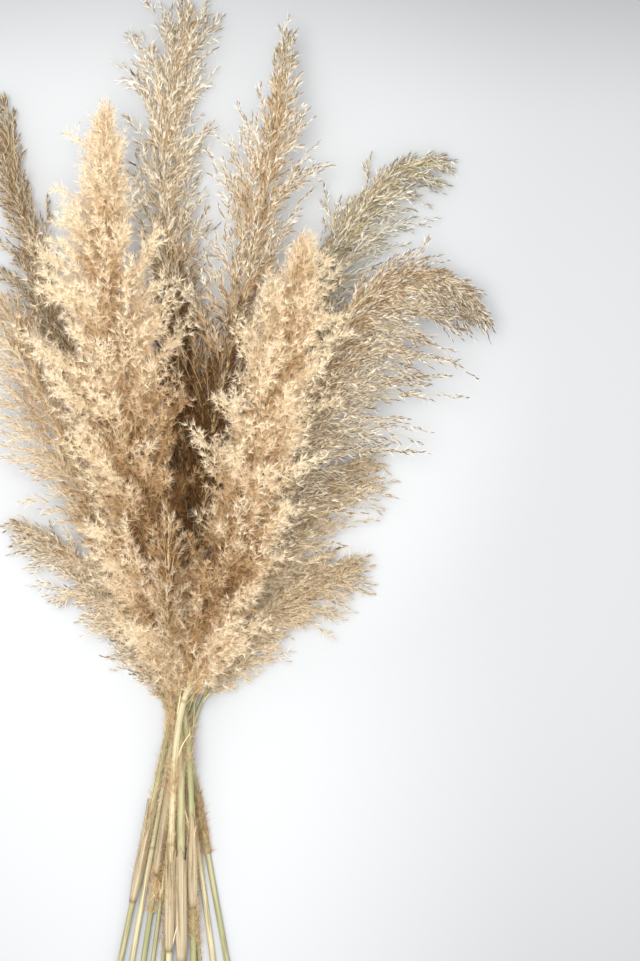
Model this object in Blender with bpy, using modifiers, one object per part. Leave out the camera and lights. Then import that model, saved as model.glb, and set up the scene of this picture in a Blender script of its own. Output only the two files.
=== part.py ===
"""A bundle of dried pampas grass lying on a flat surface.

Twelve cut stalks cross at one waist, where a hand or a vase's neck would hold them. Above the waist
each stalk ends in a plume, and below it the bare stems fan out to their cut ends. Some stems still
wear the papery sheath of a leaf.

Frame: metres, +Z up. The stalks lie along +Y with the plumes' tips that way, +X is to the right
seen from above with the tips up, and the surface is z = 0. Routes are written in millimetres from
the waist, and the whole bundle is then centred on the origin.
"""

import math

import bmesh
import bpy
import numpy as np
from mathutils import Vector

MM = 0.001
CLEARANCE = 0.3  # mm, between pieces that touch
COLLECTION_NAME = "bundle_of_pampas_grass"
MOST_LIFTS = 40  # tries at raising a stem clear of those below it

# Stems
STEM_STEP = 22.0  # mm between points along a stem
STEM_BEVEL_RESOLUTION = 2
NODE_SPACING = 150.0  # mm between the joints that ring a grass stem
FIRST_NODE = 68.0  # mm from the cut end to the first of them
NODE_SWELL = 1.12  # a ring's radius over the stem's
NODE_HALF_LENGTH = 11.0  # mm of stem that swells towards a ring, each way

# Plumes
PLUME_SIDES = 16
PLUME_RINGS = 15
TIP_RADIUS = 2.5  # mm
BASE_RISE = 1.9  # how slowly a plume swells from its base
TIP_FALL = 0.85  # how slowly it narrows to its tip

# Sheaths
SHEATH_WRAP = math.radians(305)
SHEATH_THICKNESS = 0.45  # mm
SHEATH_COLUMNS = 9
SHEATH_ROWS = 7
SHEATH_FACES_UP = math.radians(90)  # where round the stem the middle of the wrap lies
SHEATH_TWIST = 0.5  # radians that it winds from its foot to its open top
SHEATH_FLARE = 0.42  # mm that its open top stands away
SHEATH_SLACK = 0.28  # mm of room kept outside it
SHEATH_END_ROOM = 2.0  # mm of room kept past its ends

SECTION_REACH = 2.0  # mm each way over which a line's direction is taken

# Each stalk, in the order in which they are laid down. All lengths are in millimetres.
# route: its line seen from above, from the cut end through the waist to the plume's tip.
# cut_short: how much of the route's lower end is missing. radius: the stem's. bare: how far
# above the waist the plume starts. width: the plume's half width.
# depth: its half height over its half width. peak: where along the plume it is widest, 0 to 1.
# middle, tip: the plume's height above the surface there. sheath: its reach along the stem,
# measured up from the waist.
STALKS = {
    "low_left": dict(
        route=[(28, -338), (-10.5, 0), (-27, 40), (-62, 104), (-108, 161), (-170, 203)],
        radius=2.2, bare=62, width=25, depth=0.72, peak=0.55, middle=12, tip=9,
        tint=(0.52, 0.42, 0.29),
    ),
    "left_low": dict(
        route=[(46, -340), (-4.6, 0), (-21, 55), (-58, 155), (-98, 245), (-133, 325),
               (-158, 395), (-185, 445)],
        radius=3.0, bare=120, width=40, depth=0.6, peak=0.6, middle=58, tip=46,
        tint=(0.5, 0.39, 0.25),
    ),
    "left_back": dict(
        route=[(64, -342), (2.2, 0), (-14, 85), (-58, 225), (-103, 355), (-130, 405),
               (-150, 475), (-170, 545), (-178, 635)],
        radius=3.0, bare=190, width=27, depth=0.74, peak=0.5, middle=14, tip=11,
        tint=(0.42, 0.32, 0.2),
    ),
    "upper_right": dict(
        route=[(-68, -345), (-3.4, 0), (14, 55), (37, 125), (82, 255), (122, 375), (144, 445),
               (162, 490), (187, 530), (226, 563), (272, 574)],
        radius=2.8, bare=235, width=27, depth=0.74, peak=0.45, middle=14, tip=10,
        tint=(0.44, 0.37, 0.25),
    ),
    "low_right": dict(
        route=[(-41, -335), (8.8, 0), (29, 55), (66, 135), (124, 213), (200, 272)],
        radius=2.2, bare=85, width=27, depth=0.68, peak=0.55, middle=12, tip=9,
        tint=(0.6, 0.5, 0.36),
    ),
    "right_low": dict(
        route=[(-28, -330), (14, 0), (30, 35), (58, 80), (112, 126), (184, 166)],
        radius=2.0, bare=68, width=22, depth=0.7, peak=0.55, middle=12, tip=9,
        tint=(0.66, 0.54, 0.39),
    ),
    "lower_right": dict(
        route=[(-54, -348), (2.9, 0), (21.5, 55), (65, 175), (112, 285), (147, 360), (169, 403),
               (195, 434), (228, 455), (268, 450), (306, 412)],
        radius=2.8, bare=130, width=35, depth=0.66, peak=0.5, middle=60, tip=40,
        tint=(0.5, 0.42, 0.28), sheath=(-160, -60),
    ),
    "right_center": dict(
        route=[(-82, -342), (-10.2, 0), (5, 75), (17, 185), (34, 295), (54, 375), (70, 445),
               (84, 525), (96, 585), (103, 645), (107, 700)],
        radius=3.0, bare=165, width=31, depth=0.7, peak=0.55, middle=62, tip=52,
        tint=(0.5, 0.4, 0.26), sheath=(-190, -80),
    ),
    "tall_center": dict(
        route=[(1, -350), (1, 0), (1, 125), (2, 325), (-6, 445), (-13, 525), (-14, 605),
               (-3, 665), (12, 738)],
        radius=4.2, bare=250, width=33, depth=0.62, peak=0.62, middle=15, tip=12,
        tint=(0.55, 0.44, 0.29), sheath=(-245, -120),
    ),
    "front_left": dict(
        route=[(14, -338), (7, 0), (-4, 45), (-28, 175), (-48, 295), (-62, 395), (-67, 475),
               (-69, 555), (-67, 617)],
        radius=3.2, bare=95, width=51, depth=0.68, peak=0.52, middle=98, tip=90,
        tint=(0.72, 0.6, 0.44), sheath=(-190, -90),
    ),
    "front_right": dict(
        route=[(-15, -340), (0, 0), (13, 45), (38, 115), (66, 205), (86, 295), (105, 365),
               (120, 435), (126, 488)],
        radius=3.2, bare=95, width=38, depth=0.66, peak=0.52, middle=114, tip=104,
        tint=(0.74, 0.62, 0.46), sheath=(-235, -125),
    ),
    "front_small": dict(
        route=[(35, -335), (-7, 0), (-9, 30), (-8, 110), (-6, 165), (-5, 216)],
        cut_short=138, radius=2.2, bare=55, width=14, depth=0.8, peak=0.45, middle=104, tip=126,
        tint=(0.62, 0.5, 0.35),
    ),
}

STEM_TINT = (0.5, 0.47, 0.28)
SHEATH_TINT = (0.66, 0.56, 0.38)
MIDDLE_OF_PLUME = 0.5  # where along a plume its `middle` height is held


def clear_scene():
    for existing in list(bpy.data.objects):
        bpy.data.objects.remove(existing, do_unlink=True)


def make_material(name, colour, roughness):
    material = bpy.data.materials.new(name)
    material.use_nodes = True
    shader = material.node_tree.nodes["Principled BSDF"]
    shader.inputs["Base Color"].default_value = (*colour, 1.0)
    shader.inputs["Roughness"].default_value = roughness
    shader.inputs["Metallic"].default_value = 0.0
    return material


def lengths_along(points):
    """How far each point is along its line."""
    steps = np.linalg.norm(np.diff(points, axis=0), axis=1)
    return np.concatenate([[0.0], np.cumsum(steps)])


def smooth_line(points, samples_each=24):
    """A centripetal Catmull-Rom curve through the points, finely sampled."""
    points = np.asarray(points, float)
    ends = np.vstack([2 * points[0] - points[1], points, 2 * points[-1] - points[-2]])
    knots = np.concatenate([[0.0], np.cumsum(np.linalg.norm(np.diff(ends, axis=0), axis=1) ** 0.5)])
    curve = []
    for i in range(1, len(ends) - 2):
        p0, p1, p2, p3 = ends[i - 1:i + 3]
        t0, t1, t2, t3 = knots[i - 1:i + 3]
        t = np.linspace(t1, t2, samples_each, endpoint=False)[:, None]
        a1 = (t1 - t) / (t1 - t0) * p0 + (t - t0) / (t1 - t0) * p1
        a2 = (t2 - t) / (t2 - t1) * p1 + (t - t1) / (t2 - t1) * p2
        a3 = (t3 - t) / (t3 - t2) * p2 + (t - t2) / (t3 - t2) * p3
        b1 = (t2 - t) / (t2 - t0) * a1 + (t - t0) / (t2 - t0) * a2
        b2 = (t3 - t) / (t3 - t1) * a2 + (t - t1) / (t3 - t1) * a3
        curve.append((t2 - t) / (t2 - t1) * b1 + (t - t1) / (t2 - t1) * b2)
    curve.append(points[-1:])
    return np.vstack(curve)


def points_at(line, distances):
    """Points at these distances along a line."""
    along = lengths_along(line)
    return np.stack([np.interp(distances, along, line[:, axis]) for axis in range(3)], axis=1)


class Stalk:
    """One stalk's line in space, once the height at which it crosses the waist is known."""

    def __init__(self, name, facts):
        self.name = name
        self.facts = facts
        self.plan = smooth_line(facts["route"])
        self.along = lengths_along(self.plan)
        waist = smooth_line(facts["route"][:2])
        self.waist_at = lengths_along(waist)[-1]
        self.plume_at = self.waist_at + facts["bare"]
        self.length = self.along[-1]
        self.cut_at = facts.get("cut_short", 0.0)
        self.waist_height = facts["radius"] * NODE_SWELL
        self.joints = np.arange(self.cut_at + FIRST_NODE, self.plume_at - NODE_HALF_LENGTH,
                                NODE_SPACING)

    def line(self):
        """The stalk's centre line, from its cut end to its tip."""
        middle_at = self.plume_at + MIDDLE_OF_PLUME * (self.length - self.plume_at)
        held_at = [0.0, self.waist_at, middle_at, self.length]
        heights = [self.facts["radius"], self.waist_height, self.facts["middle"], self.facts["tip"]]
        held = smooth_line(np.stack([held_at, heights], axis=1))
        height = np.interp(self.along, held[:, 0], held[:, 1])
        height = np.maximum(height, self.radius_at(self.along))
        return np.column_stack([self.plan, height])

    def radius_at(self, along):
        """The room that the stem and what it wears take up round the centre line."""
        from_joint = np.abs(along[:, None] - self.joints[None]).min(axis=1)
        swell = np.clip(1.0 - from_joint / NODE_HALF_LENGTH, 0.0, 1.0)
        wide = self.facts["radius"] * (1.0 + (NODE_SWELL - 1.0) * swell)
        if "sheath" in self.facts:
            low, high = (self.waist_at + reach for reach in self.facts["sheath"])
            worn = (along > low - SHEATH_END_ROOM) & (along < high + SHEATH_END_ROOM)
            wide[worn] = (self.facts["radius"] + CLEARANCE + SHEATH_THICKNESS + SHEATH_FLARE
                          + SHEATH_SLACK)
        return wide

    def stem(self):
        """The stem's own stretch of the line, finely sampled, with its radius there."""
        line = self.line()
        distances = np.arange(self.cut_at, self.plume_at, 1.0)
        return points_at(line, distances), self.radius_at(distances)


def room_between(stalk, others):
    """The least gap between this stalk's stem and the stems already laid."""
    points, radii = stalk.stem()
    least = math.inf
    for other in others:
        their_points, their_radii = other.stem()
        apart = np.linalg.norm(points[:, None] - their_points[None], axis=2)
        apart -= radii[:, None] + their_radii[None]
        least = min(least, float(apart.min()))
    return least


def lay_stalks():
    """Lays the stalks down one by one: each crosses the waist on top of those it would cut through."""
    laid = []
    for name, facts in STALKS.items():
        stalk = Stalk(name, facts)
        for _ in range(MOST_LIFTS if laid else 0):
            missing = CLEARANCE - room_between(stalk, laid)
            if missing <= 0.01:
                break
            stalk.waist_height += missing
        laid.append(stalk)
    return laid


def add_object(name, data, collection, parent, material):
    made = bpy.data.objects.new(name, data)
    collection.objects.link(made)
    made.parent = parent
    data.materials.append(material)
    return made


def make_stem(stalk, collection, parent):
    """A round stem with the joints of a grass ringing it, cut square at its lower end."""
    line = stalk.line()
    count = max(3, round(stalk.plume_at / STEM_STEP))
    distances = set(np.linspace(stalk.cut_at, stalk.plume_at, count))
    for joint in stalk.joints:
        distances |= {joint - NODE_HALF_LENGTH, joint, joint + NODE_HALF_LENGTH}
    distances = np.array(sorted(distances))
    points = points_at(line, distances) * MM

    curve = bpy.data.curves.new("stem_" + stalk.name, "CURVE")
    curve.dimensions = "3D"
    curve.bevel_depth = stalk.facts["radius"] * MM
    curve.bevel_resolution = STEM_BEVEL_RESOLUTION
    curve.use_fill_caps = True
    spline = curve.splines.new("POLY")
    spline.points.add(len(points) - 1)
    for point, place, distance in zip(spline.points, points, distances):
        point.co = (*place, 1.0)
        point.radius = NODE_SWELL if distance in stalk.joints else 1.0
    material = make_material("stem_" + stalk.name, STEM_TINT, 0.6)
    return add_object("stem_" + stalk.name, curve, collection, parent, material)


def wrapped_grid(columns, rows, place):
    """A grid of faces bent into shape: place(u, v) gives the point for u and v from 0 to 1."""
    mesh = bmesh.new()
    bmesh.ops.create_grid(mesh, x_segments=columns, y_segments=rows, size=0.5)
    for vertex in mesh.verts:
        vertex.co = place(vertex.co.x + 0.5, vertex.co.y + 0.5)
    return mesh


def frames_along(line, distances):
    """Centre, sideways and upward directions of the sections at these distances."""
    centres = points_at(line, distances)
    ahead = points_at(line, np.minimum(distances + SECTION_REACH, lengths_along(line)[-1]))
    behind = points_at(line, np.maximum(distances - SECTION_REACH, 0.0))
    tangents = ahead - behind
    tangents /= np.linalg.norm(tangents, axis=1)[:, None]
    sideways = np.cross(tangents, (0.0, 0.0, 1.0))
    sideways /= np.linalg.norm(sideways, axis=1)[:, None]
    return centres, sideways, np.cross(sideways, tangents)


def fullness(t, peak):
    """A plume's width along its length, as a share of its greatest."""
    if t < peak:
        return math.sin(math.pi / 2 * t / peak) ** BASE_RISE
    return max(math.cos(math.pi / 2 * (t - peak) / (1 - peak)), 0.0) ** TIP_FALL


def make_plume(stalk, collection, parent):
    """A spindle round the plume's axis, flat where it lies on the surface."""
    facts = stalk.facts
    line = stalk.line()
    first = stalk.plume_at + CLEARANCE
    distances = np.linspace(first, lengths_along(line)[-1], PLUME_RINGS)
    centres, sideways, upward = frames_along(line, distances)
    shares = np.linspace(0.0, 1.0, PLUME_RINGS)
    full = np.array([fullness(share, facts["peak"]) for share in shares])
    narrow = np.where(shares < facts["peak"], facts["radius"], TIP_RADIUS)
    half_widths = narrow + (facts["width"] - narrow) * full
    half_heights = narrow + (facts["width"] * facts["depth"] - narrow) * full

    def place(u, v):
        ring = round(v * (PLUME_RINGS - 1))
        turn = 2 * math.pi * u
        spot = (centres[ring] + half_widths[ring] * math.cos(turn) * sideways[ring]
                + half_heights[ring] * math.sin(turn) * upward[ring])
        spot[2] = max(spot[2], 0.0)
        return Vector(spot * MM)

    mesh = wrapped_grid(PLUME_SIDES, PLUME_RINGS - 1, place)
    bmesh.ops.remove_doubles(mesh, verts=mesh.verts, dist=1e-6)
    bmesh.ops.holes_fill(mesh, edges=[edge for edge in mesh.edges if edge.is_boundary])
    bmesh.ops.recalc_face_normals(mesh, faces=mesh.faces)
    data = bpy.data.meshes.new("plume_" + stalk.name)
    mesh.to_mesh(data)
    mesh.free()
    data.shade_smooth()
    material = make_material("plume_" + stalk.name, facts["tint"], 0.9)
    return add_object("plume_" + stalk.name, data, collection, parent, material)


def make_sheath(stalk, collection, parent):
    """The dry foot of a leaf, wrapped most of the way round the stem and open along one side."""
    low, high = (stalk.waist_at + reach for reach in stalk.facts["sheath"])
    distances = np.linspace(low, high, SHEATH_ROWS + 1)
    centres, sideways, upward = frames_along(stalk.line(), distances)
    inner = stalk.facts["radius"] * NODE_SWELL + CLEARANCE

    def place(u, v):
        ring = round(v * SHEATH_ROWS)
        turn = SHEATH_FACES_UP + (u - 0.5) * SHEATH_WRAP + SHEATH_TWIST * v
        radius = inner + SHEATH_FLARE * v ** 3
        spot = (centres[ring] + radius * math.cos(turn) * sideways[ring]
                + radius * math.sin(turn) * upward[ring])
        return Vector(spot * MM)

    mesh = wrapped_grid(SHEATH_COLUMNS, SHEATH_ROWS, place)
    data = bpy.data.meshes.new("sheath_" + stalk.name)
    mesh.to_mesh(data)
    mesh.free()
    data.shade_smooth()
    material = make_material("sheath_" + stalk.name, SHEATH_TINT, 0.8)
    made = add_object("sheath_" + stalk.name, data, collection, parent, material)
    solidify = made.modifiers.new("Thickness", "SOLIDIFY")
    solidify.thickness = SHEATH_THICKNESS * MM
    solidify.offset = -1.0  # away from the stem, which the grid faces
    solidify.use_even_offset = True
    return made


def centre_on_origin(parent, pieces):
    """Moves the whole bundle so that the middle of its box's underside is the origin."""
    bpy.context.view_layer.update()
    graph = bpy.context.evaluated_depsgraph_get()
    corners = []
    for piece in pieces:
        evaluated = piece.evaluated_get(graph)
        mesh = evaluated.to_mesh()
        spots = np.empty(len(mesh.vertices) * 3)
        mesh.vertices.foreach_get("co", spots)
        evaluated.to_mesh_clear()
        corners.append(spots.reshape(-1, 3))
    corners = np.vstack(corners)
    middle = (corners.min(axis=0) + corners.max(axis=0)) / 2
    parent.location = (-middle[0], -middle[1], 0.0)


def main():
    clear_scene()
    collection = bpy.data.collections.new(COLLECTION_NAME)
    bpy.context.scene.collection.children.link(collection)
    bundle = bpy.data.objects.new("bundle", None)
    collection.objects.link(bundle)
    pieces = []
    for stalk in lay_stalks():
        pieces.append(make_stem(stalk, collection, bundle))
        pieces.append(make_plume(stalk, collection, bundle))
        if "sheath" in stalk.facts:
            pieces.append(make_sheath(stalk, collection, bundle))
    centre_on_origin(bundle, pieces)


main()
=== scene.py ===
"""The looks of a bundle of dried pampas grass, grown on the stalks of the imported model.

Each plume is grown branch by branch along the line of its CAD solid: a rachis, side branches that
arch out to the plume's envelope, twigs on the branches, and on each twig husks, seeds and silky
hairs. The stems become jointed culms with loose fluff, and the sheaths frayed papery leaves.
Lengths are in metres where nothing else is said.
"""

import math
from functools import cache

import bpy
import numpy as np
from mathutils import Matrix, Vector


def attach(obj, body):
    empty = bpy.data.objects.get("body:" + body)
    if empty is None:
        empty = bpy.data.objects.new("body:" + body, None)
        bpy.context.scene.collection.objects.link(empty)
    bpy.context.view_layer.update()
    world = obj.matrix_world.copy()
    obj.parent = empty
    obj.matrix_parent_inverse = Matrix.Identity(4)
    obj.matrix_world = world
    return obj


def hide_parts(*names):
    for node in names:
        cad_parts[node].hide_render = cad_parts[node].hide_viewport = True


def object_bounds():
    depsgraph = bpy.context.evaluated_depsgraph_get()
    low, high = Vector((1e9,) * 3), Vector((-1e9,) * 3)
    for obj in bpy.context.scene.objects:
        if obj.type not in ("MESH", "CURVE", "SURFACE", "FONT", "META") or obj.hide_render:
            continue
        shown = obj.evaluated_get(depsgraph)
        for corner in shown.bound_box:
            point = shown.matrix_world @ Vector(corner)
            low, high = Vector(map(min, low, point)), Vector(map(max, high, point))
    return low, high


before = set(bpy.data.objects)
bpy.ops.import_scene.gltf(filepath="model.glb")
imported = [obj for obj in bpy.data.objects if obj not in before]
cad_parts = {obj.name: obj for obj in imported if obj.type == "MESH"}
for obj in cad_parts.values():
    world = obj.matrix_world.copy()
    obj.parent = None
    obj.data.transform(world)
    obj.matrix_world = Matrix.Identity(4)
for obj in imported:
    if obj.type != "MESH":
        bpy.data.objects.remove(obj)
cad_box = [list(corner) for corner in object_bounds()]

MM = 0.001
GOLDEN_TURN = math.radians(137.5)
SEED = 11

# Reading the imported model
STEM_STEP = 6 * MM  # between sections
PLUME_STEP = 8 * MM
SECTION_REACH = 80 * MM  # how far out a section may lie
LINE_STEP = 2 * MM  # between the points of a smoothed line
LINE_BEYOND = 60 * MM  # how far it is carried on past the tip
SMOOTHING = 15  # points

# How far the looks may stand outside the CAD box, and the gap kept to the surface
BOX_SHARE = 0.03
BOX_EXTRA = 8 * MM
FLOOR_GAP = 0.4 * MM

# The smallest pieces
HUSK_LENGTH = 6.6 * MM
HUSK_WIDTH = 1.3 * MM
SEED_LENGTH = 6.2 * MM
SEED_WIDTH = 1.15 * MM
SEED_OUT = 2.6 * MM  # how far from the twig it sits
WIDEST = 0.4  # where along a husk or seed it is widest
HAIR_LENGTH = 9.0 * MM
HAIR_WIDTH = 0.56 * MM
HAIR_OUT = 1.5 * MM
TWIG_WIDTH = 0.3 * MM

# The rachis, and how branches leave it
RACHIS_SIDES = 8
RACHIS_TIP_RADIUS = 0.5 * MM
RACHIS_OVERLAP = 4 * MM  # of the rachis and the culm below it
BRANCH_POINTS = 7
BRANCH_SIDES = 3
BRANCH_RADIUS = 0.5 * MM
BRANCH_NARROWS = 0.35  # its end's radius over its foot's
BRANCHES_SPACED = 0.78  # below 1, further apart towards the tip
LAST_BRANCH = 0.98  # where along the plume it leaves
FACING_UP = 0.4  # how strongly branches turn to the upper side
FACING_LONG_SIDE = 0.42  # and to the longer side of a one-sided plume
TRAVEL_PAST_TIP = 8 * MM
LEAST_TRAVEL = 10 * MM  # it may always run this far along
TRAVEL_OF_LEFT = 0.55  # and this share more of the plume that is left
WIDEST_TRAVEL = 0.85  # where along it a branch meets the envelope
STRAYS = 0.1  # the share that reach past the envelope
STRAY_REACH = (1.05, 1.3)
USUAL_REACH = (0.35, 1.08)
REACH_CROWDS = 0.75  # below 1, more of the usual ones reach far
BEND_OUT = 0.34  # how far out a branch's middle control point lies
SPRAY_BEND_AHEAD = 0.62

# The envelope, which is the CAD solid's size, but no less than this
ENVELOPE_LEAST = 0.66  # of the solid's widest
ENVELOPE_FOOT = 0.25  # and of that, at the foot
ENVELOPE_OPENS = 0.22  # how gently it opens from there
ENVELOPE_TAPERS = 0.85  # below 1, a blunter tip

# Twigs, and the painted shade they get from where they lie
FIRST_TWIG = 0.08  # where along a branch
TWIG_ANGLE = (0.25, 0.55)  # radians from the branch, with looseness added
TWIG_SINKS = 0.22  # how much its end gives way downwards
MOTTLE = 0.1  # the spread of tones
OUT_IN_PLUME = 0.62  # a twig's depth comes from its place in the plume
OUT_ON_BRANCH = 0.38  # and on its branch
TIP_PART = 90 * MM  # the end of a plume, thinner in fluff and with less painted shade
TIP_DULLER = 0.42  # how much less tone it has
TIP_THINNER = 0.4  # the share of twigs that it goes without
TIP_DEPTH = 0.35  # the least depth at the very tip
END_DULLER = 0.5  # how much less tone branch ends have where they are dark
WAIST = 0.32  # where from foot to tip a plume is shaded by its neighbours, and how far each way
WAIST_HALF = 0.26

# Fluff and loose strips on the culms
FUZZ_REACH = 330 * MM
FUZZ_PATCHES = 7
FUZZ_PATCH_SIZE = 16 * MM
FUZZ_HAIRS = 1900
FUZZ_WIDTH = 0.6 * MM
SCRAPS = 13
SCRAP_POINTS = 6

# Culms and sheaths
FIRST_JOINT = 68 * MM  # from the cut end, as on the CAD stems
JOINT_SPACING = 150 * MM
JOINT_SWELL = 0.14
JOINT_LENGTH = 2.4 * MM
JOINT_ROWS = np.array([-2, -1.2, -0.6, 0, 0.6, 1.2, 2]) * JOINT_LENGTH
CULM_ROW = 6 * MM
CULM_SIDES = 16
# The hollow cut end, from its middle out: mm from the end, and share of the radius
CULM_END = [(1.4, 0.02), (1.1, 0.5), (0.3, 0.66), (0.0, 0.74), (0.0, 0.93), (0.5, 1.0)]
SHEATH_ROW = 3 * MM
SHEATH_COLUMNS = 48
SHEATH_TURN = math.radians(395)
SHEATH_THICKNESS = 0.3 * MM
SHEATH_TEARS = 16
SHEATH_TIGHT = 1.03  # its radius at its foot over the culm's
SHEATH_LOOSENS = 0.2  # over this share of its length, to the CAD sheath's radius
SHEATH_RIPPLE = 0.35 * MM
SHEATH_FLARE = 5 * MM
SHEATH_OPENS = 0.72  # from here up
SHEATH_OVERLAP = 0.5 * MM
GRAIN_ALONG = 9  # the grain's units in a metre of stalk

# The map that strands are laid out on, with a cell for each kind, tone and depth: strands of one
# colour share one place, from foot to tip.
MAP_NAME = "OFBake"
TONES = 28
DEPTHS = 32
ZONES = {"husk": (0.0, 0.3), "seed": (0.3, 0.5), "hair": (0.5, 0.9), "wood": (0.9, 1.0)}
KINDS = list(ZONES)
CELL_HALF_WIDTH = 0.36
CELL_FOOT = 0.12
CELL_LENGTH = 0.76
SKIN_MAP_MARGIN = 0.01

# Between the two plumes in front, where little light gets in: x and y, and its size both ways
HOLLOW_MIDDLE = (-0.058, 0.045)
HOLLOW_SIZE = (0.026, 0.13)
HOLLOW_DEPTH = 0.62

# Colours, linear. inner and heart: what they are multiplied by inside the plume and at its middle.
# inner and heart are painted shade, with some of the plant's own browner inner colour
PALETTES = {
    "cream": dict(
        heart=(0.30, 0.17, 0.07), inner=(0.74, 0.59, 0.42), seed=(0.42, 0.31, 0.20),
        husk=(0.88, 0.765, 0.58), hair=((0.85, 0.73, 0.545), (0.91, 0.825, 0.67)),
        wood=((0.50, 0.42, 0.22), (0.78, 0.68, 0.44))),
    "tan": dict(
        heart=(0.26, 0.135, 0.045), inner=(0.80, 0.65, 0.47), seed=(0.27, 0.20, 0.12),
        husk=(0.99, 0.93, 0.80), hair=((0.95, 0.86, 0.71), (0.99, 0.96, 0.88)),
        wood=((0.40, 0.33, 0.17), (0.70, 0.60, 0.38))),
    "brown": dict(
        heart=(0.27, 0.15, 0.06), inner=(0.66, 0.49, 0.315), seed=(0.20, 0.14, 0.08),
        husk=(0.84, 0.73, 0.55), hair=((0.76, 0.63, 0.45), (0.91, 0.83, 0.68)),
        wood=((0.36, 0.32, 0.16), (0.60, 0.52, 0.32))),
    "fawn": dict(
        heart=(0.36, 0.215, 0.10), inner=(0.80, 0.62, 0.42), seed=(0.24, 0.17, 0.10),
        husk=(0.99, 0.91, 0.77), hair=((0.95, 0.84, 0.68), (0.99, 0.94, 0.84)),
        wood=((0.42, 0.37, 0.18), (0.70, 0.62, 0.38))),
    "green": dict(
        heart=(0.48, 0.37, 0.24), inner=(0.90, 0.82, 0.68), seed=(0.26, 0.205, 0.13),
        husk=(0.99, 0.97, 0.90), hair=((0.96, 0.91, 0.81), (0.99, 0.98, 0.94)),
        wood=((0.48, 0.46, 0.20), (0.74, 0.70, 0.40))),
}

# What every plume starts from: its style is laid over this, and its own entry over both.
# twigs: on each branch. travel: mm that a full branch runs along the plume. twig: its mm. spread,
# crown: the envelope's width and height over the CAD solid's. taper: the share of its length over
# which it narrows to the tip, and point: the same for a pointed end. tone: from the dark to the light
# end of the palette, and mottle: how much it varies. lift: how much less painted shade it all has.
# dark_waist: how much more painted shade round WAIST. sparse, dark_ends: how much thinner, and how
# much barer and duller, branch ends are. one_sided: how much further the branches on its right reach.
# nod: mm that branch tips lean. sprays: single long branches: mm back from the tip, then mm ahead and
# to the right.
PLUME = dict(twigs=12, travel=80, twig=22, crown=1.3, taper=0.35, point=0.05, tone=0.5, mottle=1.0,
             lift=0.0, dark_waist=0.0, sparse=0.0, dark_ends=0.0, one_sided=0.0, nod=(0, 0, 0),
             sprays=[])

# What plumes of one kind share. husks: on each twig. hairs: on each husk. loose: how far husks and
# hairs stray from the twig. seeds: the share of husks with a darker seed. outward: below 1, twigs
# crowd towards the branch ends. bold: the size of husks and seeds.
STYLES = {
    "woolly": dict(
        husks=2, hairs=12, loose=0.56, seeds=0.4, outward=0.75, bold=0.85, mottle=0.6,
        palette="cream", slot="plume_cream", travel=75, twig=23, spread=1.5, crown=1.2, taper=0.5),
    "soft": dict(
        husks=6, hairs=4, loose=0.4, seeds=0.9, outward=0.9, bold=1.05, tone=0.45, sparse=0.2,
        dark_ends=0.4, lift=0.1, palette="cream", slot="plume_cream"),
    "open": dict(
        husks=7, hairs=2, loose=0.36, seeds=1.0, outward=0.95, bold=1.15, sparse=0.35,
        dark_ends=0.7, slot="plume_brown"),
}
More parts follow.
